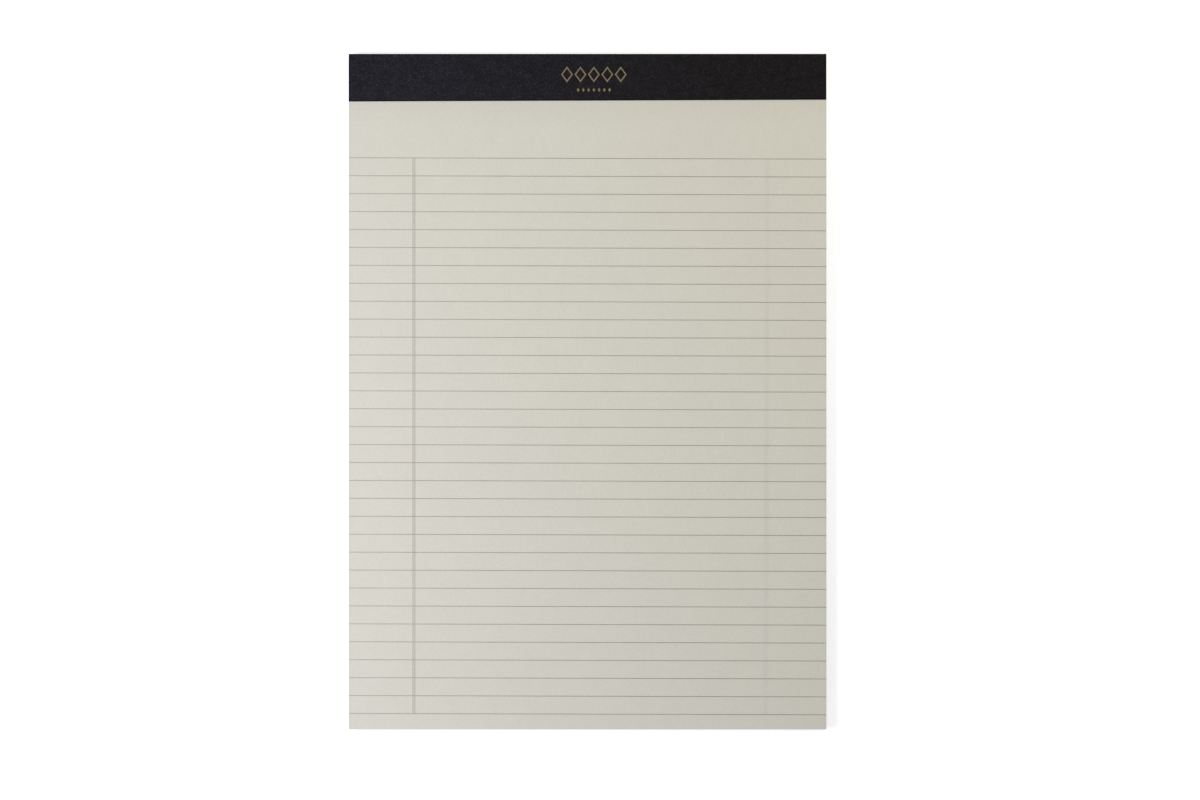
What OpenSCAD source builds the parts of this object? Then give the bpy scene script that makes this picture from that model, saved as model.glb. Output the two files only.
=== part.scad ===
// Refill pad: a block of ruled sheets on a backing board, glued at the head and bound with a folded tape.
// The pad lies on its back. X runs across the page, +Y points to the bound head and +Z up out of the page.
// The origin is on the surface below the pad, under the middle of its outline. Sizes are in millimetres.

/* [Pad] */
// Overall width
pad_width = 210; // [120:1:300]
// Overall length from the bound head to the foot
pad_length = 297; // [160:1:430]

/* [Paper] */
// Number of sheets in the block
sheet_count = 50; // [20:1:120]
// Thickness of one sheet
sheet_thickness = 0.1; // [0.06:0.01:0.2]

/* [Backing board] */
// Thickness of the board
board_thickness = 0.8; // [0.4:0.1:2]

/* [Binding] */
// Thickness of the tape
tape_thickness = 0.2; // [0.1:0.05:0.5]
// Thickness of the glue film on the head
glue_thickness = 0.3; // [0.1:0.05:0.8]
// Depth of the tape on the front, at the left-hand edge
front_flap_left = 21; // [16:0.1:40]
// Depth of the tape on the front, at the right-hand edge
front_flap_right = 20.2; // [16:0.1:40]
// Depth of the tape on the back
back_flap = 20; // [10:0.5:40]

/* [Ruling] */
// Blank header from the tape's deeper end to the first rule
header = 25; // [5:0.5:60]
// Distance from one rule to the next
rule_pitch = 7.88; // [5:0.01:12]
// Least distance from the last rule to the foot
foot_margin = 5; // [2:0.5:20]
// Width of a rule
rule_width = 0.3; // [0.1:0.01:0.6]
// Drop of a rule from the left-hand edge to the right-hand edge
rule_drop = 0.6; // [0:0.1:3]
// Distance from the left-hand edge to the middle of the double margin line
margin_offset = 28.7; // [10:0.1:60]
// Distance between the middles of the two margin lines
margin_spacing = 0.81; // [0.5:0.01:3]
// Width of each margin line
margin_line_width = 0.28; // [0.1:0.01:0.4]
// Thickness of the ink
ink_thickness = 0.03; // [0.02:0.01:0.1]

/* [Foil ornament] */
// Number of open lozenges in the upper row
lozenge_count = 5; // [1:1:9]
// Width of an open lozenge
lozenge_width = 5.2; // [3:0.1:8]
// Height of an open lozenge
lozenge_height = 7; // [4:0.1:10]
// Width of the line that draws an open lozenge
lozenge_stroke = 0.55; // [0.3:0.05:1]
// Clear space between two open lozenges
lozenge_gap = 0.7; // [0.3:0.1:3]
// Number of solid lozenges in the lower row
bead_count = 7; // [1:1:15]
// Width of a solid lozenge
bead_width = 1.2; // [0.6:0.1:3]
// Height of a solid lozenge
bead_height = 1.8; // [0.6:0.1:3]
// Clear space between two solid lozenges
bead_gap = 1.1; // [0.3:0.1:3]
// Distance from the upper row's middle down to the lower row's middle
row_drop = 6.8; // [6:0.1:8]
// Distance of the upper row's middle above the middle of the tape's front
row_rise = 1.2; // [-1:0.1:3]
// Distance of the ornament to the right of the pad's middle
ornament_offset = 2.8; // [-20:0.1:20]
// Thickness of the foil
foil_thickness = 0.02; // [0.02:0.01:0.1]

/* [Hidden] */
$fn = 64;

// How far a cutting shape passes the solid that it cuts
cut = 1;

// Heights of the layers, from the back flap up to the tape's front
board_z = tape_thickness;
sheets_z = board_z + board_thickness;
page_z = sheets_z + sheet_count * sheet_thickness;
front_z = page_z + tape_thickness;

// Places along the pad, from the foot to the outside of the tape's spine
foot_y = -pad_length / 2;
head_y = pad_length / 2;
spine_y = head_y - tape_thickness;
stack_y = spine_y - glue_thickness;

// The glue rounds off the head's two edges, and the tape bends around it
bend_radius = min(glue_thickness, (page_z - board_z) / 3);
tape_reach = max(front_flap_left, front_flap_right, back_flap);

// Rules that fit on the page below the header, with their heights at the middle of the page
first_rule_y = head_y - max(front_flap_left, front_flap_right) - header;
rule_count = floor((first_rule_y - foot_y - foot_margin) / rule_pitch) + 1;
last_rule_y = first_rule_y - (rule_count - 1) * rule_pitch;
rule_angle = atan(rule_drop / pad_width);
margin_x = margin_offset - pad_width / 2;
margin_rise = -margin_x * rule_drop / pad_width;

// Middle of the tape's front under the ornament, and the ornament's two rows
flap_share = ornament_offset / pad_width + 0.5;
ornament_flap = front_flap_left + (front_flap_right - front_flap_left) * flap_share;
upper_row_y = head_y - ornament_flap / 2 + row_rise;
lower_row_y = upper_row_y - row_drop;

paper_colour = [0.81, 0.80, 0.76];
board_colour = [0.53, 0.49, 0.43];
glue_colour = [0.90, 0.89, 0.84];
tape_colour = [0.13, 0.13, 0.15];
ink_colour = [0.60, 0.58, 0.55];
foil_colour = [0.62, 0.52, 0.36];

// A slab of the stack, from the foot to the glue, between two heights
module stack_layer(bottom, top) {
    translate([-pad_width / 2, foot_y, bottom])
        cube([pad_width, stack_y - foot_y, top - bottom]);
}

// Section of a head seen from its right-hand end: 2D x runs along the pad, 2D y is the height.
// It reaches back from the head and has rounded corners there.
module head_section(head, reach, bottom, top, radius) {
    translate([head - reach, bottom])
        square([reach - radius, top - bottom]);
    translate([head - radius, bottom + radius])
        square([radius, top - bottom - 2 * radius]);
    for (height = [bottom + radius, top - radius])
        translate([head - radius, height])
            circle(r = radius);
}

// Runs a head's section across the whole pad
module across_pad() {
    rotate([90, 0, 90])
        linear_extrude(height = pad_width, center = true)
            children();
}

module backing_board() {
    color(board_colour)
        stack_layer(board_z, sheets_z);
}

module sheet_block() {
    color(paper_colour)
        stack_layer(sheets_z, page_z);
}

// The film fills the space between the stack's head and the tape's spine
module padding_glue() {
    color(glue_colour)
        across_pad()
            difference() {
                head_section(spine_y, glue_thickness + cut, board_z, page_z, bend_radius);
                translate([stack_y - 2 * cut, board_z - cut])
                    square([2 * cut, page_z - board_z + 2 * cut]);
            }
}

// The tape's section before its front edge is trimmed: a front flap, a spine and a shorter back flap
module tape_section() {
    difference() {
        head_section(head_y, tape_reach, 0, front_z, bend_radius + tape_thickness);
        head_section(spine_y, tape_reach + cut, board_z, page_z, bend_radius);
        translate([head_y - tape_reach - cut, -cut])
            square([tape_reach + cut - back_flap, front_z / 2 + cut]);
    }
}

// What is trimmed off the front flap: its edge runs a little out of square
module front_trim() {
    slope = (front_flap_left - front_flap_right) / pad_width;
    right_x = pad_width / 2 + cut;
    trim_y = head_y - tape_reach - cut;
    translate([0, 0, front_z / 2])
        linear_extrude(height = front_z)
            polygon([
                [-right_x, trim_y],
                [right_x, trim_y],
                [right_x, head_y - front_flap_right + slope * cut],
                [-right_x, head_y - front_flap_left - slope * cut]
            ]);
}

module binding_tape() {
    color(tape_colour)
        difference() {
            across_pad()
                tape_section();
            front_trim();
        }
}

// Rules that run right across the page, a little out of square
module rules() {
    intersection() {
        square([pad_width, pad_length], center = true);
        for (i = [0 : rule_count - 1])
            translate([0, first_rule_y - i * rule_pitch])
                rotate(-rule_angle)
                    square([2 * pad_width, rule_width], center = true);
    }
}

// The double margin line, which runs from the first rule to the last
module margin_lines() {
    for (side = [-1, 1])
        translate([margin_x + side * margin_spacing / 2, (first_rule_y + last_rule_y) / 2 + margin_rise])
            square([margin_line_width, first_rule_y - last_rule_y], center = true);
}

module ruling() {
    color(ink_colour)
        translate([0, 0, page_z])
            linear_extrude(height = ink_thickness) {
                rules();
                margin_lines();
            }
}

module lozenge(width, height) {
    polygon([
        [width / 2, 0],
        [0, height / 2],
        [-width / 2, 0],
        [0, -height / 2]
    ]);
}

// A lozenge drawn by a line of even width
module open_lozenge(width, height, stroke) {
    half_span = width * height / sqrt(width * width + height * height) / 2;
    inner = 1 - stroke / half_span;
    difference() {
        lozenge(width, height);
        lozenge(width * inner, height * inner);
    }
}

// Copies in a row along X, about the middle
module row(count, pitch) {
    for (i = [0 : count - 1])
        translate([(i - (count - 1) / 2) * pitch, 0])
            children();
}

module foil_ornament() {
    color(foil_colour)
        translate([ornament_offset, 0, front_z])
            linear_extrude(height = foil_thickness) {
                translate([0, upper_row_y])
                    row(lozenge_count, lozenge_width + lozenge_gap)
                        open_lozenge(lozenge_width, lozenge_height, lozenge_stroke);
                translate([0, lower_row_y])
                    row(bead_count, bead_width + bead_gap)
                        lozenge(bead_width, bead_height);
            }
}

backing_board();
sheet_block();
padding_glue();
binding_tape();
ruling();
foil_ornament();
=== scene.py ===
"""Looks of a refill pad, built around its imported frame: its materials, meshes, light and camera."""

import math

import bpy
import numpy as np
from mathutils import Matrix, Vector, noise


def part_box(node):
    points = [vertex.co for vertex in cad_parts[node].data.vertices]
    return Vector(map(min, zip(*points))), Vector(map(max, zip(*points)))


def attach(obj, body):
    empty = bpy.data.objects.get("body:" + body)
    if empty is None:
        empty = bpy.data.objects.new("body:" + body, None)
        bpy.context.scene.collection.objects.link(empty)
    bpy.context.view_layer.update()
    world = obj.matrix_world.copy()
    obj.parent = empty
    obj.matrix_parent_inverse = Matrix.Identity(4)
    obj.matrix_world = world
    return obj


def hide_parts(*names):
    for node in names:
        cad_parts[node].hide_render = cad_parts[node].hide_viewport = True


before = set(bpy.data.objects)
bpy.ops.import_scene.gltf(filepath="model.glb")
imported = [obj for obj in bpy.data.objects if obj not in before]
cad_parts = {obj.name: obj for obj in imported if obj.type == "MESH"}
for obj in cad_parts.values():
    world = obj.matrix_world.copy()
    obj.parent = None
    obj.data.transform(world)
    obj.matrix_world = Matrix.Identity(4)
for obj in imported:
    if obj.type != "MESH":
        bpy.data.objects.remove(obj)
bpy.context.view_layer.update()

# A millimetre, in the scene's metres
MM = 0.001

# Places that the frame gives
sheets_low, sheets_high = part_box("sheet_block")
board_low, board_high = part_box("backing_board")
tape_low, tape_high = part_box("binding_tape")
ruling_low, ruling_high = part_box("ruling")
glue_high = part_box("padding_glue")[1]
pad_width = sheets_high.x - sheets_low.x
pad_length = tape_high.y - sheets_low.y
page_z = sheets_high.z
head_y = tape_high.y
tape_thickness = board_low.z - tape_low.z
bend_radius = glue_high.y - sheets_high.y

# The sheets' cut edges: a sheet's thickness, how far it shifts at random, and how much of the shift of the
# sheet below it keeps
SHEET_THICKNESS = 0.1 * MM
SHEET_SHIFT, SHIFT_KEPT = 0.035 * MM, 0.6
SHEET_SEED = 11

# Stray sheets: their share, and how far they lie back at most
STRAY_SHARE, STRAY_DEPTH = 0.08, 0.10 * MM

# Slow waves along each edge: their depth, how many there are, and their spread from one sheet to the next
WAVE_DEPTH, WAVE_COUNT, WAVE_SPREAD = 0.012 * MM, 1.5, 0.8

# Grooves between the sheets, and where a sheet's full edge starts and ends, as shares of its thickness
GROOVE_DEPTH = 0.025 * MM
SHEET_CORE = (0.2, 0.8)

# The board's cut edges: heights as shares of its thickness, with the worn rim's depth at each in millimetres
BOARD_RIM = ((0.0, 0.10), (0.10, 0.04), (0.28, 0.0), (0.72, 0.0), (0.90, 0.03), (1.0, 0.07))
BOARD_FRAY = 0.02 * MM
BOARD_SEED = 23

# Cells across and along a slab, and along its left side, foot and right side
CELLS_ACROSS = 28
CELLS_ALONG = 40
SIDE_CELLS = (CELLS_ALONG, CELLS_ACROSS, CELLS_ALONG)

# The tape's mesh: the parts of its section from the front edge to the back edge, cells across the pad, cells
# along each part, and how many of those outer cells lie over one cell of the inside
FRONT, BEND, SPINE, BACK = range(4)
SECTION = (FRONT, BEND, SPINE, BEND, BACK)
TAPE_COLUMNS = 420
OUTER_CELLS = (42, 6, 12, 40)
OUTER_TO_INNER = (7, 2, 4, 8)
INNER_CELLS = tuple(outer // ratio for outer, ratio in zip(OUTER_CELLS, OUTER_TO_INNER))

# The tape's embossed grain: the size of its cells and its depth. Then, measured in cells, how far waves bend
# it, how long they are, and the shift between the waves along the two axes.
GRAIN_SIZE, GRAIN_DEPTH = 1.15 * MM, 0.028 * MM
GRAIN_WARP, GRAIN_WAVE = 0.45, 1.4
GRAIN_WAVE_SHIFT = Vector((5.2, 1.3, 2.8))

# Creases of the grain: their width in cells and share of the depth. Finer pits make up the rest of it.
CREASE_WIDTH, CREASE_SHARE = 0.35, 0.7
PITS_PER_CELL = 1.9

# The tape's frayed cut edges
FRAY_SIZE, FRAY_DEPTH = 0.8 * MM, 0.03 * MM
FRAY_SEED = 7.3

# Linear colours. PAPER_RIM_SHADE, SHOW_THROUGH, TAPE_SHEEN_LEFT and TAPE_SHEEN_RIGHT multiply the colour below them.
PAPER = (0.617, 0.597, 0.533, 1)
PAPER_EDGE = (0.660, 0.643, 0.570, 1)
# Painted shade that greys and cools the page along its free edges
PAPER_RIM_SHADE = (0.930, 0.955, 1.000, 1)
SHOW_THROUGH = (0.930, 0.952, 0.967, 1)
BOARD = (0.240, 0.205, 0.158, 1)
BOARD_DARK = (0.085, 0.072, 0.058, 1)
BOARD_LIGHT = (0.430, 0.395, 0.330, 1)
GLUE = (0.790, 0.770, 0.680, 1)
GLUE_DARK = (0.640, 0.610, 0.510, 1)
TAPE = (0.0036, 0.0034, 0.0040, 1)
TAPE_LIGHT = (0.0166, 0.0154, 0.0184, 1)
# Painted sheen: the tape's tint at its left end, paler and bluer towards the key lamp, and at its right end
TAPE_SHEEN_LEFT = (1.62, 1.64, 1.90, 1)
TAPE_SHEEN_RIGHT = (0.94, 0.85, 0.79, 1)
# Painted shade along the tape's edges, fold and ends
TAPE_EDGE_SHADE = (0.0010, 0.0009, 0.0010, 1)
INK = (0.254, 0.230, 0.198, 1)
INK_THIN = (0.459, 0.438, 0.388, 1)
FOIL = (0.215, 0.165, 0.100, 1)
FOIL_WORN = (0.120, 0.093, 0.060, 1)
FLOOR = (0.76, 0.77, 0.86, 1)
WHITE = (1, 1, 1, 1)

# The range that holds most of a noise's values, and the wider one that a tone's spread runs over
NOISE_RANGE = (0.3, 0.7)
TONE_RANGE = (0.25, 0.75)

# A pattern below has its size, and a spread where it makes the colour paler and darker.
# A material has its range of roughness, and where needed the height of its bump and its specular level.

# Paper: clouds and fibres
PAPER_CLOUD, PAPER_CLOUD_SPREAD = 9 * MM, 0.012
PAPER_FIBRE, PAPER_FIBRE_SPREAD = 0.7 * MM, 0.050
PAPER_ROUGHNESS, PAPER_BUMP = (0.78, 0.92), 0.013 * MM
PAPER_SPECULAR = 0.2

# The width of the painted shade along the page's free edges, and the reach and tone of the painted shade on
# the page along the tape
PAGE_RIM_SHADE = 0.8 * MM
TAPE_SHADE_REACH, TAPE_SHADE_TONE = 12 * MM, 0.955

# Cut edges: how far a face's normal may point up or down there, the sheets' own tones, and streaks
UPWARD_LIMIT = 0.9
EDGE_TONES = (0.86, 1.05)
EDGE_STREAK, EDGE_STREAK_SPREAD = 2.5 * MM, 0.05

# The other side's print, which shows through the paper as one faint band: its distance from the right-hand
# edge, its slope, the distances from its middle between which it fades, and the patches that break it
SHOW_THROUGH_FROM_RIGHT, SHOW_THROUGH_LEAN = 26.2 * MM, 0.0035
SHOW_THROUGH_CORE, SHOW_THROUGH_REACH = 0.1 * MM, 1.8 * MM
SHOW_THROUGH_PATCH, SHOW_THROUGH_TONES = 14 * MM, (0.35, 1.0)

# Board: clouds, pulp and the plies of its cut edges. The last two are drawn out.
BOARD_CLOUD, BOARD_CLOUD_SPREAD = 12 * MM, 0.07
BOARD_PULP, BOARD_PULP_SPREAD = 1.0 * MM, 0.30
PULP_STRETCH = (0.55, 1.0, 1.0)
BOARD_PLY, BOARD_PLY_SPREAD = 0.13 * MM, 0.30
PLY_STRETCH = (0.1, 0.1, 1.0)
BOARD_ROUGHNESS, BOARD_BUMP = (0.84, 0.97), 0.021 * MM
BOARD_SPECULAR = 0.15

# The board's fibres and specks. Each kind has the size of the cells that hold one each, its greatest length,
# its width, the share of cells that have one, and its colour. All of them share a bend and a strength.
BOARD_FIBRES = (
    (5.2 * MM, 3.6 * MM, 0.20 * MM, 0.75, BOARD_DARK),
    (3.7 * MM, 2.8 * MM, 0.17 * MM, 0.80, BOARD_LIGHT),
    (2.3 * MM, 0.8 * MM, 0.32 * MM, 0.35, BOARD_DARK),
    (2.9 * MM, 0.9 * MM, 0.30 * MM, 0.40, BOARD_LIGHT),
)
FIBRE_BEND = 0.6
FIBRE_STRENGTH = 0.7

# Glue: lumps
GLUE_LUMP = 1.8 * MM
GLUE_ROUGHNESS, GLUE_BUMP = (0.35, 0.55), 0.025 * MM
GLUE_SPECULAR = 0.4

# Tape: the leather grain's cells, the waves that bend them and the slope at their sides, and the pores, with
# the cells' share of the tone and the pores' height
PEBBLE, PEBBLE_WARP, PEBBLE_SLOPE = 1.1 * MM, 0.9 * MM, 0.42
PEBBLE_SHARE = 0.65
PORE, PORE_HEIGHT = 0.35 * MM, 0.5
TAPE_MOTTLE, TAPE_MOTTLE_SPREAD = 2.6 * MM, 0.28
TAPE_CLOUD, TAPE_CLOUD_SPREAD = 16 * MM, 0.08
TAPE_ROUGHNESS, TAPE_BUMP = (0.72, 0.52), 0.048 * MM
TAPE_SPECULAR = 0.06

# The painted shade along the tape's edges, fold and ends: how far in it is full, how far in it ends, and its
# strength
TAPE_EDGE_SHADE_CORE, TAPE_EDGE_SHADE_REACH = 0.25 * MM, 0.75 * MM
TAPE_EDGE_SHADE_STRENGTH = 0.85

# Ink: the fibres that break it and its fainter patches, the noise values over which it thins and how far,
# how far it thins at the page's right and left edges, and the power by which that grows to the left
INK_FIBRE, INK_FIBRE_RANGE, INK_FIBRE_SHARE = 0.5 * MM, (0.4, 0.75), 0.29
INK_PATCH, INK_PATCH_RANGE, INK_PATCH_SHARE = 11 * MM, (0.4, 0.7), 0.18
INK_SIDE_SHARES, INK_SIDE_POWER = (0.06, 0.41), 2
INK_ROUGHNESS = (0.65, 0.85)
INK_SPECULAR = 0.2

# Foil: worn patches, the wear over the grain's creases, and scuffs
FOIL_PATCH, FOIL_PATCH_RANGE, FOIL_PATCH_WEAR = 1.2 * MM, (0.5, 0.72), 0.8
FOIL_CREASE, FOIL_CREASE_WEAR = 0.35, 0.7
FOIL_SCUFF = 0.25 * MM
FOIL_ROUGHNESS, FOIL_BUMP = (0.30, 0.48), 0.004 * MM

# The photograph's size and the pad's outline in it, in pixels, which place the camera
PHOTO_WIDTH, PHOTO_HEIGHT = 1200, 800
OUTLINE_LEFT, OUTLINE_RIGHT = 348.2, 826.8
OUTLINE_TOP, OUTLINE_BOTTOM = 54.4, 728.8

# The camera's focal length and the width of its sensor, in millimetres
LENS, SENSOR = 100.0, 36.0

# Lamps, all aimed at the middle of the pad: place and size in metres, power in watts, and colour
LAMPS = {
    "key": ((-0.48, -0.077, 0.471), 0.4, 3.84, (0.99, 0.99, 1.083)),
    "fill": ((0.40, 0.395, 0.411), 0.4, 1.755, (1.03, 1.02, 0.753)),
    "front": ((0.0, -0.95, 0.16), 0.3, 1.6, (1, 1, 1)),
}

# The strength of the surround's light, and the width of the floor in metres
WORLD_LEVEL = 0.25
FLOOR_SIZE = 6.0

# The floor's own white: its strength beside the pad and further out, where the lamps no longer reach, and
# the distances in metres between which it rises
FLOOR_GLOW, FLOOR_GLOW_FAR = 0.55, 0.81
FLOOR_NEAR, FLOOR_FAR = 0.30, 0.90


# Node trees

# Numbers of a colour mix's sockets, because other kinds of mix share their names
MIX_FACTOR, MIX_FIRST, MIX_SECOND = 0, 6, 7
MIX_RESULT = 2


def add(tree, kind, inputs=None, **settings):
    """A new shader node. Each input is a constant or another node's output."""
    node = tree.nodes.new("ShaderNode" + kind)
    for name, value in settings.items():
        setattr(node, name, value)
    for name, value in (inputs or {}).items():
        if isinstance(value, bpy.types.NodeSocket):
            tree.links.new(value, node.inputs[name])
        else:
            node.inputs[name].default_value = value
    return node


def calc(tree, operation, first, second=0.0):
    """A number worked out from one or two others."""
    return add(tree, "Math", {0: first, 1: second}, operation=operation).outputs[0]


def vector_calc(tree, operation, first, second):
    """A vector worked out from two others."""
    return add(tree, "VectorMath", {0: first, 1: second}, operation=operation).outputs[0]


def remap(tree, value, source, target, kind="LINEAR"):
    """Takes value from the range source to the range target, and stops at its ends."""
    inputs = {
        "Value": value,
        "From Min": source[0],
        "From Max": source[1],
        "To Min": target[0],
        "To Max": target[1],
    }
    return add(tree, "MapRange", inputs, interpolation_type=kind).outputs["Result"]


def mix(tree, factor, first, second, blend="MIX"):
    """A colour blended from two others, by a factor from 0 to 1."""
    inputs = {MIX_FACTOR: factor, MIX_FIRST: first, MIX_SECOND: second}
    return add(tree, "Mix", inputs, data_type="RGBA", blend_type=blend).outputs[MIX_RESULT]


def here(tree):
    """The point in the pad's frame."""
    return add(tree, "TexCoord").outputs["Object"]


def split(tree, vector):
    """A vector's x, y and z."""
    return add(tree, "SeparateXYZ", {"Vector": vector}).outputs


def grain(tree, vector, size, detail=2.0, roughness=0.5):
    """Noise with features of about the given size."""
    inputs = {"Vector": vector, "Scale": 1 / size, "Detail": detail, "Roughness": roughness}
    return add(tree, "TexNoise", inputs).outputs["Fac"]


def shaded(tree, colour, value, spread):
    """Colour times a factor that runs from 1 - spread to 1 + spread with the noise value."""
    factor = remap(tree, value, TONE_RANGE, (1 - spread, 1 + spread))
    return mix(tree, 1.0, colour, factor, "MULTIPLY")


def bumped(tree, height, depth):
    """Normal of a bumped surface, which rises by depth where the height is 1."""
    return add(tree, "Bump", {"Height": height, "Distance": depth}).outputs["Normal"]


def material(name, **constants):
    """A node material, its tree and its shader, with the shader's constant values set."""
    made = bpy.data.materials.new(name)
    made.use_nodes = True
    shader = made.node_tree.nodes["Principled BSDF"]
    for key, value in constants.items():
        shader.inputs[key.replace("_", " ")].default_value = value
    return made, made.node_tree, shader


def connect(tree, shader, **outputs):
    """Links outputs to the shader's inputs of those names."""
    for key, output in outputs.items():
        tree.links.new(output, shader.inputs[key.replace("_", " ")])


# Materials

def show_through(tree, point, x, y):
    """How much of the other side's print shows: one faint band down the page, broken into patches."""
    lean = calc(tree, "MULTIPLY", y, SHOW_THROUGH_LEAN)
    band_x = calc(tree, "ADD", lean, sheets_high.x - SHOW_THROUGH_FROM_RIGHT)
    across = calc(tree, "ABSOLUTE", calc(tree, "SUBTRACT", x, band_x))
    band = remap(tree, across, (SHOW_THROUGH_CORE, SHOW_THROUGH_REACH), (1, 0), "SMOOTHSTEP")
    above = calc(tree, "GREATER_THAN", y, ruling_low.y)
    below = calc(tree, "LESS_THAN", y, ruling_high.y)
    patches = remap(tree, grain(tree, point, SHOW_THROUGH_PATCH), NOISE_RANGE, SHOW_THROUGH_TONES)
    shown = calc(tree, "MULTIPLY", above, below)
    return calc(tree, "MULTIPLY", calc(tree, "MULTIPLY", band, patches), shown)


def past_tape_edge(tree, x, y, front_edge):
    """How far a point lies from the tape's front edge towards the head.
    The edge is given by its y at the left and right ends."""
    left_y, right_y = front_edge
    slope = (right_y - left_y) / pad_width
    edge_y = calc(tree, "ADD", calc(tree, "MULTIPLY", x, slope), (left_y + right_y) / 2)
    return calc(tree, "SUBTRACT", y, edge_y)


def from_side(tree, x):
    """How far a point lies in from the nearer of the pad's left and right sides."""
    return calc(tree, "SUBTRACT", pad_width / 2, calc(tree, "ABSOLUTE", x))


def page_rim_shade(tree, x, y):
    """1 along the page's free edges, where painted shade greys and cools them a little, and 0 further in."""
    from_foot = calc(tree, "SUBTRACT", y, sheets_low.y)
    inside = calc(tree, "MINIMUM", from_side(tree, x), from_foot)
    return remap(tree, inside, (0, PAGE_RIM_SHADE), (1, 0), "SMOOTHSTEP")


def cut_edge(tree):
    """1 on the upright cut edges, and 0 on the flat faces."""
    normal = add(tree, "NewGeometry").outputs["Normal"]
    upward = calc(tree, "ABSOLUTE", split(tree, normal)["Z"])
    return calc(tree, "LESS_THAN", upward, UPWARD_LIMIT)


def sheet_edges(tree, point, z):
    """Colour of the cut edges, a little different from sheet to sheet."""
    height = calc(tree, "SUBTRACT", z, sheets_low.z)
    sheet = calc(tree, "FLOOR", calc(tree, "DIVIDE", height, SHEET_THICKNESS))
    each = add(tree, "TexWhiteNoise", {"W": sheet}, noise_dimensions="1D").outputs["Value"]
    edge = mix(tree, 1.0, PAPER_EDGE, remap(tree, each, (0, 1), EDGE_TONES), "MULTIPLY")
    return shaded(tree, edge, grain(tree, point, EDGE_STREAK, detail=4.0), EDGE_STREAK_SPREAD)


def paper_material(front_edge):
    """Uncoated writing paper: cloudy fibres, faint show-through, painted shade that makes the page a little
    darker along the tape and its rim, and cut edges that differ by sheet."""
    made, tree, shader = material("paper", Specular_IOR_Level=PAPER_SPECULAR)
    point = here(tree)
    x, y, z = split(tree, point)
    clouds = grain(tree, point, PAPER_CLOUD, detail=3.0)
    fibres = grain(tree, point, PAPER_FIBRE, detail=4.0, roughness=0.65)
    page = shaded(tree, shaded(tree, PAPER, clouds, PAPER_CLOUD_SPREAD), fibres, PAPER_FIBRE_SPREAD)
    page = mix(tree, show_through(tree, point, x, y), page, SHOW_THROUGH, "MULTIPLY")
    # Painted shade: greyer and cooler along the page's free edges
    page = mix(tree, page_rim_shade(tree, x, y), page, PAPER_RIM_SHADE, "MULTIPLY")
    # Painted shade on the page below the tape, darkest at its edge and fading towards the foot
    tape_shade = remap(tree, past_tape_edge(tree, x, y, front_edge), (-TAPE_SHADE_REACH, 0), (1, TAPE_SHADE_TONE))
    page = mix(tree, 1.0, page, tape_shade, "MULTIPLY")
    colour = mix(tree, cut_edge(tree), page, sheet_edges(tree, point, z))
    roughness = remap(tree, fibres, NOISE_RANGE, PAPER_ROUGHNESS)
    surface = bumped(tree, fibres, PAPER_BUMP)
    connect(tree, shader, Base_Color=colour, Roughness=roughness, Normal=surface)
    return made


def bent_fibres(tree, point, cell, length, width, share):
    """Short bent fibres that lie at all angles, at most one in each cell: 1 on a fibre and 0 beside it."""
    cells = add(tree, "TexVoronoi", {"Vector": point, "Scale": 1 / cell}, voronoi_dimensions="2D").outputs
    chance = add(tree, "SeparateColor", {"Color": cells["Color"]}).outputs
    from_middle = vector_calc(tree, "SUBTRACT", point, cells["Position"])
    angle = calc(tree, "MULTIPLY", chance["Red"], math.tau)
    turned = add(tree, "VectorRotate", {"Vector": from_middle, "Angle": angle}, rotation_type="Z_AXIS")
    along, across = split(tree, turned.outputs["Vector"])[:2]
    curve = remap(tree, chance["Green"], (0, 1), (-FIBRE_BEND / length, FIBRE_BEND / length))
    bow = calc(tree, "MULTIPLY", curve, calc(tree, "MULTIPLY", along, along))
    aside = calc(tree, "ABSOLUTE", calc(tree, "ADD", across, bow))
    reach = remap(tree, chance["Blue"], (0, share), (length / 2, 0))
    within = calc(tree, "GREATER_THAN", reach, calc(tree, "ABSOLUTE", along))
    return calc(tree, "MULTIPLY", within, remap(tree, aside, (width / 4, width / 2), (1, 0), "SMOOTHSTEP"))


def board_material():
    """Grey chipboard of recycled pulp, with dark and pale fibres on its faces and plies in its edges."""
    made, tree, shader = material("chipboard", Specular_IOR_Level=BOARD_SPECULAR)
    point = here(tree)
    drawn_out = vector_calc(tree, "MULTIPLY", point, PULP_STRETCH)
    layered = vector_calc(tree, "MULTIPLY", point, PLY_STRETCH)
    clouds = grain(tree, point, BOARD_CLOUD, detail=3.0)
    pulp = grain(tree, drawn_out, BOARD_PULP, detail=5.0, roughness=0.7)
    plies = grain(tree, layered, BOARD_PLY, detail=3.0)
    base = shaded(tree, BOARD, clouds, BOARD_CLOUD_SPREAD)
    face = shaded(tree, base, pulp, BOARD_PULP_SPREAD)
    for cell, length, width, share, tint in BOARD_FIBRES:
        fibres = bent_fibres(tree, point, cell, length, width, share)
        face = mix(tree, calc(tree, "MULTIPLY", fibres, FIBRE_STRENGTH), face, tint)
    colour = mix(tree, cut_edge(tree), face, shaded(tree, base, plies, BOARD_PLY_SPREAD))
    roughness = remap(tree, pulp, NOISE_RANGE, BOARD_ROUGHNESS)
    surface = bumped(tree, pulp, BOARD_BUMP)
    connect(tree, shader, Base_Color=colour, Roughness=roughness, Normal=surface)
    return made


def glue_material():
    """Cured padding glue: off-white, a little uneven, and satin."""
    made, tree, shader = material("glue", Specular_IOR_Level=GLUE_SPECULAR)
    lumps = grain(tree, here(tree), GLUE_LUMP, detail=3.0)
    colour = mix(tree, remap(tree, lumps, NOISE_RANGE, (0, 1)), GLUE, GLUE_DARK)
    roughness = remap(tree, lumps, NOISE_RANGE, GLUE_ROUGHNESS)
    surface = bumped(tree, lumps, GLUE_BUMP)
    connect(tree, shader, Base_Color=colour, Roughness=roughness, Normal=surface)
    return made


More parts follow.
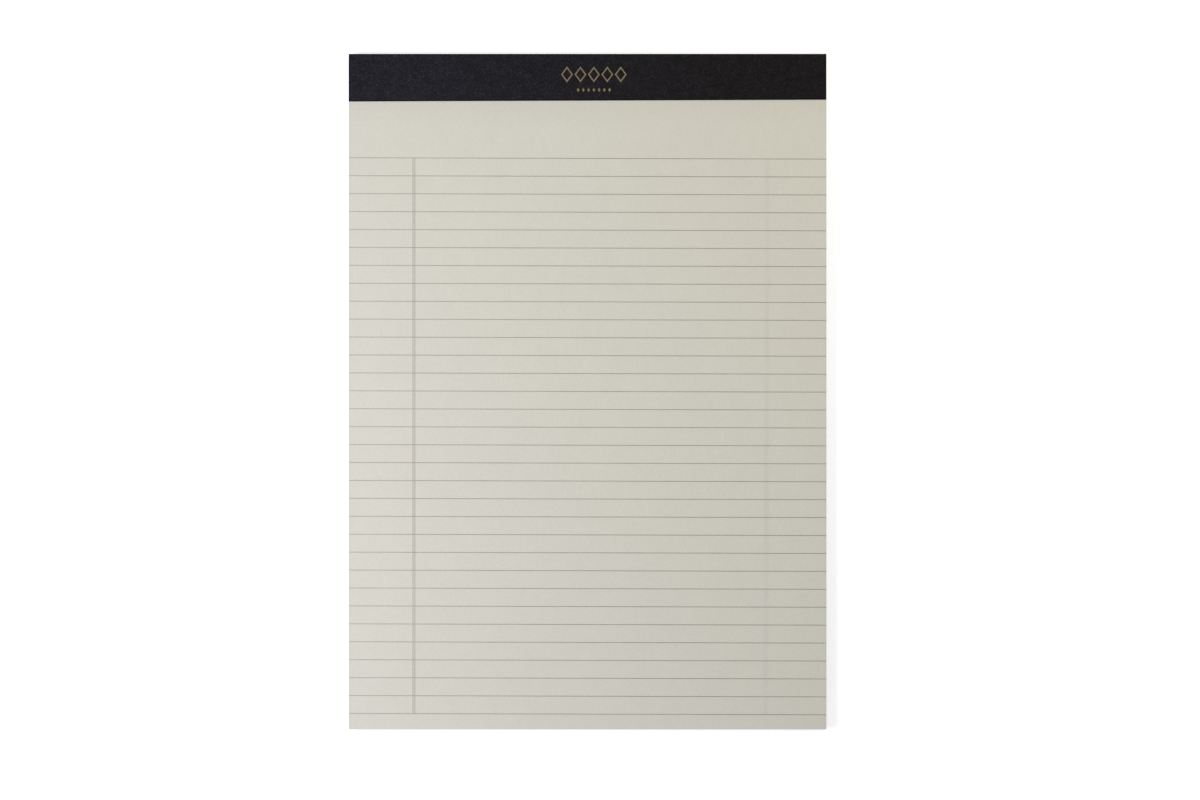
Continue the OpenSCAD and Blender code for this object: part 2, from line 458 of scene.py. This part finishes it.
def pebbles(tree, point):
    """The leather grain's height, from 0 in the creases to 1 on top of the rounded cells."""
    inputs = {"Vector": point, "Scale": 1 / PEBBLE_WARP, "Detail": 3.0}
    waves = add(tree, "TexNoise", inputs).outputs["Color"]
    shift = add(tree, "VectorMath", {0: waves, "Scale": PEBBLE_WARP}, operation="SCALE").outputs[0]
    bent = vector_calc(tree, "ADD", point, shift)
    cells = add(tree, "TexVoronoi", {"Vector": bent, "Scale": 1 / PEBBLE}, feature="DISTANCE_TO_EDGE")
    return remap(tree, cells.outputs["Distance"], (0, PEBBLE_SLOPE), (0, 1), "SMOOTHSTEP")


def tape_edge_shade(tree, x, y, front_edge):
    """How much painted shade darkens the tape: most along its front edge, fold and ends, and 0 further in.
    """
    from_front = past_tape_edge(tree, x, y, front_edge)
    from_head = calc(tree, "SUBTRACT", head_y, y)
    inside = calc(tree, "MINIMUM", calc(tree, "MINIMUM", from_front, from_head), from_side(tree, x))
    return remap(tree, inside, (TAPE_EDGE_SHADE_CORE, TAPE_EDGE_SHADE_REACH), (TAPE_EDGE_SHADE_STRENGTH, 0), "SMOOTHSTEP")


def tape_material(front_edge):
    """Black binding paper with a fine leather grain, painted shade along its edges and fold, and a painted
    sheen that makes it paler and bluer towards the left.
    """
    made, tree, shader = material("tape", Specular_IOR_Level=TAPE_SPECULAR)
    point = here(tree)
    x, y = split(tree, point)[:2]
    pebble = pebbles(tree, point)
    pores = grain(tree, point, PORE, detail=3.0, roughness=0.6)
    raised = remap(tree, pores, NOISE_RANGE, (0, 1 - PEBBLE_SHARE))
    lit = calc(tree, "ADD", calc(tree, "MULTIPLY", pebble, PEBBLE_SHARE), raised)
    colour = mix(tree, lit, TAPE, TAPE_LIGHT)
    colour = shaded(tree, colour, grain(tree, point, TAPE_MOTTLE), TAPE_MOTTLE_SPREAD)
    colour = shaded(tree, colour, grain(tree, point, TAPE_CLOUD), TAPE_CLOUD_SPREAD)
    # Painted sheen: paler and bluer towards the left, where the key lamp falls
    across = remap(tree, x, (tape_low.x, tape_high.x), (0, 1), "SMOOTHSTEP")
    colour = mix(tree, 1.0, colour, mix(tree, across, TAPE_SHEEN_LEFT, TAPE_SHEEN_RIGHT), "MULTIPLY")
    # Painted shade along the tape's front edge, fold and ends
    colour = mix(tree, tape_edge_shade(tree, x, y, front_edge), colour, TAPE_EDGE_SHADE)
    roughness = remap(tree, pebble, (0, 1), TAPE_ROUGHNESS)
    height = calc(tree, "ADD", pebble, calc(tree, "MULTIPLY", pores, PORE_HEIGHT))
    surface = bumped(tree, height, TAPE_BUMP)
    connect(tree, shader, Base_Color=colour, Roughness=roughness, Normal=surface)
    return made


def ink_material():
    """Thin grey printing ink that the paper's fibres break up, fainter towards the left."""
    made, tree, shader = material("ink", Specular_IOR_Level=INK_SPECULAR)
    point = here(tree)
    x = split(tree, point)["X"]
    fibres = grain(tree, point, INK_FIBRE, detail=4.0, roughness=0.65)
    patches = grain(tree, point, INK_PATCH)
    between = remap(tree, fibres, INK_FIBRE_RANGE, (0, INK_FIBRE_SHARE))
    faint = remap(tree, patches, INK_PATCH_RANGE, (0, INK_PATCH_SHARE))
    from_right = remap(tree, x, (ruling_low.x, ruling_high.x), (1, 0))
    side = remap(tree, calc(tree, "POWER", from_right, INK_SIDE_POWER), (0, 1), INK_SIDE_SHARES)
    thinned = calc(tree, "ADD", calc(tree, "ADD", between, faint), side)
    colour = mix(tree, thinned, INK, INK_THIN)
    roughness = remap(tree, fibres, NOISE_RANGE, INK_ROUGHNESS)
    connect(tree, shader, Base_Color=colour, Roughness=roughness)
    return made


def foil_material():
    """Dull gold hot foil, worn thin on the grain below it."""
    made, tree, shader = material("foil", Metallic=1.0)
    point = here(tree)
    patches = grain(tree, point, FOIL_PATCH, detail=3.0)
    scuffs = grain(tree, point, FOIL_SCUFF, detail=3.0, roughness=0.6)
    sunk = remap(tree, pebbles(tree, point), (0, FOIL_CREASE), (FOIL_CREASE_WEAR, 0))
    rubbed = remap(tree, patches, FOIL_PATCH_RANGE, (0, FOIL_PATCH_WEAR))
    colour = mix(tree, calc(tree, "MAXIMUM", sunk, rubbed), FOIL, FOIL_WORN)
    roughness = remap(tree, scuffs, NOISE_RANGE, FOIL_ROUGHNESS)
    surface = bumped(tree, scuffs, FOIL_BUMP)
    connect(tree, shader, Base_Color=colour, Roughness=roughness, Normal=surface)
    return made


def seen_directly(tree):
    """1 for a camera, glossy or transmission ray, and 0 for the light that falls on things."""
    rays = add(tree, "LightPath").outputs
    either = calc(tree, "MAXIMUM", rays["Is Camera Ray"], rays["Is Glossy Ray"])
    return calc(tree, "MAXIMUM", either, rays["Is Transmission Ray"])


def floor_material():
    """A pale floor that takes the pad's shadow and looks white around it."""
    made = bpy.data.materials.new("floor")
    made.use_nodes = True
    tree = made.node_tree
    tree.nodes.remove(tree.nodes["Principled BSDF"])
    lit = add(tree, "BsdfDiffuse", {"Color": FLOOR}).outputs["BSDF"]
    away = add(tree, "VectorMath", {0: here(tree)}, operation="LENGTH").outputs["Value"]
    level = remap(tree, away, (FLOOR_NEAR, FLOOR_FAR), (FLOOR_GLOW, FLOOR_GLOW_FAR), "SMOOTHSTEP")
    strength = calc(tree, "MULTIPLY", seen_directly(tree), level)
    glow = add(tree, "Emission", {"Color": WHITE, "Strength": strength}).outputs["Emission"]
    both = add(tree, "AddShader", {0: lit, 1: glow}).outputs["Shader"]
    tree.links.new(both, tree.nodes["Material Output"].inputs["Surface"])
    return made


# Objects and meshes

def in_scene(name, data):
    """A new object in the scene."""
    made = bpy.data.objects.new(name, data)
    bpy.context.scene.collection.objects.link(made)
    return made


def piece(name, points, faces, finish, node):
    """A mesh that rides on the pad and stands for one CAD node."""
    mesh = bpy.data.meshes.new(name)
    mesh.from_pydata(points, [], faces)
    mesh.validate()
    mesh.materials.append(finish)
    made = in_scene(name, mesh)
    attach(made, "root")
    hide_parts(node)
    return made


def ring_index(row, column):
    """Place in a slab's ring of a point on the rim of its grid.
    Rows run from the head to the foot, and columns from the left."""
    if column == 0:
        return row
    if row == CELLS_ALONG:
        return CELLS_ALONG + column
    if column == CELLS_ACROSS:
        return 2 * CELLS_ALONG + CELLS_ACROSS - row
    return 2 * CELLS_ALONG + 2 * CELLS_ACROSS - column


def ring(low, high, z, left, foot, right):
    """A slab's outline at one height, from the head's left end round by the foot.
    Left, foot and right are the insets along its sides, and the head's edge stays straight."""
    down = np.linspace(0, 1, CELLS_ALONG + 1)
    along = np.linspace(0, 1, CELLS_ACROSS + 1)
    left_x, right_x, foot_y = low.x + left, high.x - right, low.y + foot
    head_x = left_x[0] + (right_x[0] - left_x[0]) * along
    foot_x = left_x[-1] + (right_x[-1] - left_x[-1]) * along
    left_side = np.stack([left_x, high.y + (foot_y[0] - high.y) * down], axis=1)
    foot_side = np.stack([foot_x, foot_y], axis=1)
    right_side = np.stack([right_x, high.y + (foot_y[-1] - high.y) * down], axis=1)
    head_side = np.stack([head_x, np.full_like(along, high.y)], axis=1)
    outline = np.concatenate([left_side[:-1], foot_side[:-1], right_side[:0:-1], head_side[:0:-1]])
    return np.column_stack([outline, np.full(len(outline), z)])


def cap(points, faces, rim, first, facing_up):
    """Closes a slab with a level grid inside the ring of points that starts at index first."""
    def corner(row, column):
        return rim[ring_index(row, column)][:2]

    inner = {}
    for row in range(1, CELLS_ALONG):
        for column in range(1, CELLS_ACROSS):
            share = column / CELLS_ACROSS
            spot = corner(row, 0) * (1 - share) + corner(row, CELLS_ACROSS) * share
            inner[row, column] = len(points)
            points.append((*spot, rim[0][2]))

    def index(row, column):
        return inner.get((row, column), first + ring_index(row, column))

    for row in range(CELLS_ALONG):
        for column in range(CELLS_ACROSS):
            near = [index(row, column), index(row + 1, column)]
            far = [index(row + 1, column + 1), index(row, column + 1)]
            quad = near + far
            faces.append(quad if facing_up else quad[::-1])


def slab(low, high, levels):
    """Points and faces of a closed slab from its levels: heights with left, foot and right insets."""
    rings = [ring(low, high, *level) for level in levels]
    size = len(rings[0])
    points = [tuple(p) for outline in rings for p in outline]
    faces = []
    for level in range(len(rings) - 1):
        base, above = level * size, (level + 1) * size
        for i in range(size):
            following = (i + 1) % size
            faces.append([base + i, base + following, above + following, above + i])
    cap(points, faces, rings[0], 0, facing_up=False)
    cap(points, faces, rings[-1], (len(rings) - 1) * size, facing_up=True)
    return points, faces


def sheet_insets(random, count, cells):
    """How far each sheet's edge lies back along one side, as an array of sheets by points.
    The top sheet keeps the pad's full outline."""
    drift = np.zeros(count)
    for k in range(1, count):
        drift[k] = SHIFT_KEPT * drift[k - 1] + random.normal(0, SHEET_SHIFT)
    drift += STRAY_DEPTH * random.random(count) * (random.random(count) < STRAY_SHARE)
    drift -= drift.min()
    turn = np.linspace(0, math.tau, cells + 1)
    phase = np.cumsum(random.normal(0, WAVE_SPREAD, count))
    wave = WAVE_DEPTH * (1 + np.sin(WAVE_COUNT * turn[None, :] + phase[:, None]))
    insets = drift[:, None] + wave
    insets[-1] = 0
    return insets


def make_sheets(finish):
    """The block of sheets, with every sheet's cut edge along its sides and foot."""
    random = np.random.default_rng(SHEET_SEED)
    count = round((sheets_high.z - sheets_low.z) / SHEET_THICKNESS)
    sides = [sheet_insets(random, count, cells) for cells in SIDE_CELLS]
    levels = []
    for k in range(count):
        base = sheets_low.z + k * SHEET_THICKNESS
        lower = max(k - 1, 0)
        grooves = [np.maximum(side[k], side[lower]) + GROOVE_DEPTH for side in sides]
        levels.append((base, *grooves))
        for share in SHEET_CORE:
            levels.append((base + share * SHEET_THICKNESS, *[side[k] for side in sides]))
    levels.append((page_z, *[side[-1] for side in sides]))
    points, faces = slab(sheets_low, sheets_high, levels)
    piece("sheets", points, faces, finish, "sheet_block")


def make_board(finish):
    """The backing board, with softened and slightly fibrous cut edges."""
    random = np.random.default_rng(BOARD_SEED)
    thickness = board_high.z - board_low.z
    levels = []
    for share, depth in BOARD_RIM:
        sides = [depth * MM + BOARD_FRAY * random.random(cells + 1) for cells in SIDE_CELLS]
        levels.append((board_low.z + share * thickness, *sides))
    points, faces = slab(board_low, board_high, levels)
    piece("board", points, faces, finish, "backing_board")


def tape_edge(front):
    """Y of the tape's free edge at its left and right ends, on its front or on its back."""
    middle = (tape_low.z + tape_high.z) / 2
    flap = [v.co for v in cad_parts["binding_tape"].data.vertices if (v.co.z > middle) == front]
    return [min(corner.y for corner in flap if corner.x * side > 0) for side in (-1, 1)]


def run(start, end, count):
    """Even steps from start to end, without the last one."""
    return np.linspace(start, end, count, endpoint=False)


def tape_section(front_y, back_y, offset, cells):
    """Points along the tape's section with their outward directions, from the front edge over the head
    to the back edge. Offset is 0 on the outside and the tape's thickness on the inside."""
    front_cells, bend_cells, spine_cells, back_cells = cells
    radius = bend_radius + tape_thickness
    reach = radius - offset
    bend_y, top_z, low_z = head_y - radius, tape_high.z - radius, tape_low.z + radius

    def around(centre_z, angle):
        out_y, out_z = math.cos(angle), math.sin(angle)
        return bend_y + reach * out_y, centre_z + reach * out_z, out_y, out_z

    spots = [(y, top_z + reach, 0, 1) for y in run(front_y, bend_y, front_cells)]
    spots += [around(top_z, angle) for angle in run(math.pi / 2, 0, bend_cells)]
    spots += [(bend_y + reach, z, 1, 0) for z in run(top_z, low_z, spine_cells)]
    spots += [around(low_z, angle) for angle in run(0, -math.pi / 2, bend_cells)]
    spots += [(y, low_z - reach, 0, -1) for y in np.linspace(bend_y, back_y, back_cells + 1)]
    return np.array(spots)


def smooth_noise(spot):
    """Noise from 0 to 1 at a point."""
    return 0.5 + 0.5 * noise.noise(spot)


def emboss(x, travel):
    """Depth of the tape's grain, from 0 on the cells to 1 in the creases between them."""
    spot = Vector((x / GRAIN_SIZE, travel / GRAIN_SIZE, 0))
    wave = spot / GRAIN_WAVE
    spot += GRAIN_WARP * Vector((noise.noise(wave), noise.noise(wave + GRAIN_WAVE_SHIFT), 0))
    near, second = noise.voronoi(spot)[0][:2]
    crease = 1 - min(1, (second - near) / CREASE_WIDTH)
    return CREASE_SHARE * crease + (1 - CREASE_SHARE) * smooth_noise(spot * PITS_PER_CELL)


def tape_column(share, front_edge, back_edge):
    """Points round the tape's section at one place across the pad: the embossed outside, then the inside."""
    x = tape_low.x + share * pad_width
    frayed = FRAY_DEPTH * smooth_noise(Vector((x / FRAY_SIZE, FRAY_SEED, 0)))
    front_y, back_y = [left + (right - left) * share + frayed for left, right in (front_edge, back_edge)]
    outer = tape_section(front_y, back_y, 0, OUTER_CELLS)
    inner = tape_section(front_y, back_y, tape_thickness, INNER_CELLS)
    steps = np.hypot(np.diff(outer[:, 0]), np.diff(outer[:, 1]))
    travel = np.concatenate([[0], np.cumsum(steps)])
    column = []
    for (y, z, out_y, out_z), length in zip(outer, travel):
        depth = GRAIN_DEPTH * emboss(x, length)
        column.append((x, y - depth * out_y, z - depth * out_z))
    return column + [(x, y, z) for y, z, _, _ in inner[::-1]]


def tape_end(size):
    """Faces that close the tape's section at its left end, each over one cell of the inside."""
    faces = []
    outside, inside = 0, size - 1
    for part in SECTION:
        step = OUTER_TO_INNER[part]
        for _ in range(INNER_CELLS[part]):
            faces.append(list(range(outside, outside + step + 1)) + [inside - 1, inside])
            outside, inside = outside + step, inside - 1
    return faces


def make_tape(finish, front_edge, back_edge):
    """The folded binding tape: an embossed outside, a plain inside and cut ends."""
    columns = [tape_column(i / TAPE_COLUMNS, front_edge, back_edge) for i in range(TAPE_COLUMNS + 1)]
    size = len(columns[0])
    points = [point for column in columns for point in column]
    faces = []
    for column in range(TAPE_COLUMNS):
        base, beyond = column * size, (column + 1) * size
        for i in range(size):
            following = (i + 1) % size
            faces.append([base + i, beyond + i, beyond + following, base + following])
    around_count, last = len(faces), TAPE_COLUMNS * size
    for end in tape_end(size):
        faces.append(end)
        faces.append([last + i for i in end[::-1]])
    made = piece("tape", points, faces, finish, "binding_tape")
    outside_cells = sum(OUTER_CELLS[part] for part in SECTION)
    smooth = [i < around_count and i % size < outside_cells for i in range(len(made.data.polygons))]
    made.data.polygons.foreach_set("use_smooth", smooth)


def dress(node, finish):
    """Gives its finish to a CAD node that no mesh replaces."""
    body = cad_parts[node]
    body.data.materials.clear()
    body.data.materials.append(finish)


# Stage, light and camera

def make_floor():
    """A wide level floor under the pad."""
    half = FLOOR_SIZE / 2
    corners = [(-half, -half, 0), (half, -half, 0), (half, half, 0), (-half, half, 0)]
    mesh = bpy.data.meshes.new("floor")
    mesh.from_pydata(corners, [], [[0, 1, 2, 3]])
    mesh.materials.append(floor_material())
    in_scene("floor", mesh)


def make_lamp(name, spot, size, power, colour):
    """A square lamp aimed at the middle of the pad."""
    data = bpy.data.lights.new(name, "AREA")
    data.size = size
    data.energy = power
    data.color = colour
    made = in_scene(name, data)
    made.location = spot
    made.rotation_euler = (-Vector(spot)).to_track_quat("-Z", "Y").to_euler()
    made.visible_camera = False


def make_world():
    """An even surround that lights the pad gently and looks white."""
    world = bpy.data.worlds.new("surround")
    world.use_nodes = True
    tree = world.node_tree
    strength = remap(tree, seen_directly(tree), (0, 1), (WORLD_LEVEL, 1))
    tree.nodes["Background"].inputs["Color"].default_value = WHITE
    tree.links.new(strength, tree.nodes["Background"].inputs["Strength"])
    bpy.context.scene.world = world


def make_camera():
    """A camera straight above the page, placed so that the outline falls where the photograph has it."""
    wide, tall = OUTLINE_RIGHT - OUTLINE_LEFT, OUTLINE_BOTTOM - OUTLINE_TOP
    scale = (pad_width / wide + pad_length / tall) / 2
    data = bpy.data.cameras.new("camera")
    data.lens, data.sensor_width = LENS, SENSOR
    made = in_scene("camera", data)
    side = (PHOTO_WIDTH - OUTLINE_LEFT - OUTLINE_RIGHT) / 2 * scale
    rise = (OUTLINE_TOP + OUTLINE_BOTTOM - PHOTO_HEIGHT) / 2 * scale
    made.location = (side, rise, page_z + PHOTO_WIDTH * scale * LENS / SENSOR)
    bpy.context.scene.camera = made


# The pad on its stage

tape_front, tape_back = tape_edge(front=True), tape_edge(front=False)
make_camera()
make_sheets(paper_material(tape_front))
make_board(board_material())
make_tape(tape_material(tape_front), tape_front, tape_back)
dress("padding_glue", glue_material())
dress("ruling", ink_material())
dress("foil_ornament", foil_material())
make_floor()
for lamp_name, lamp_values in LAMPS.items():
    make_lamp(lamp_name, *lamp_values)
make_world()
bpy.context.scene.view_settings.view_transform = "Standard"
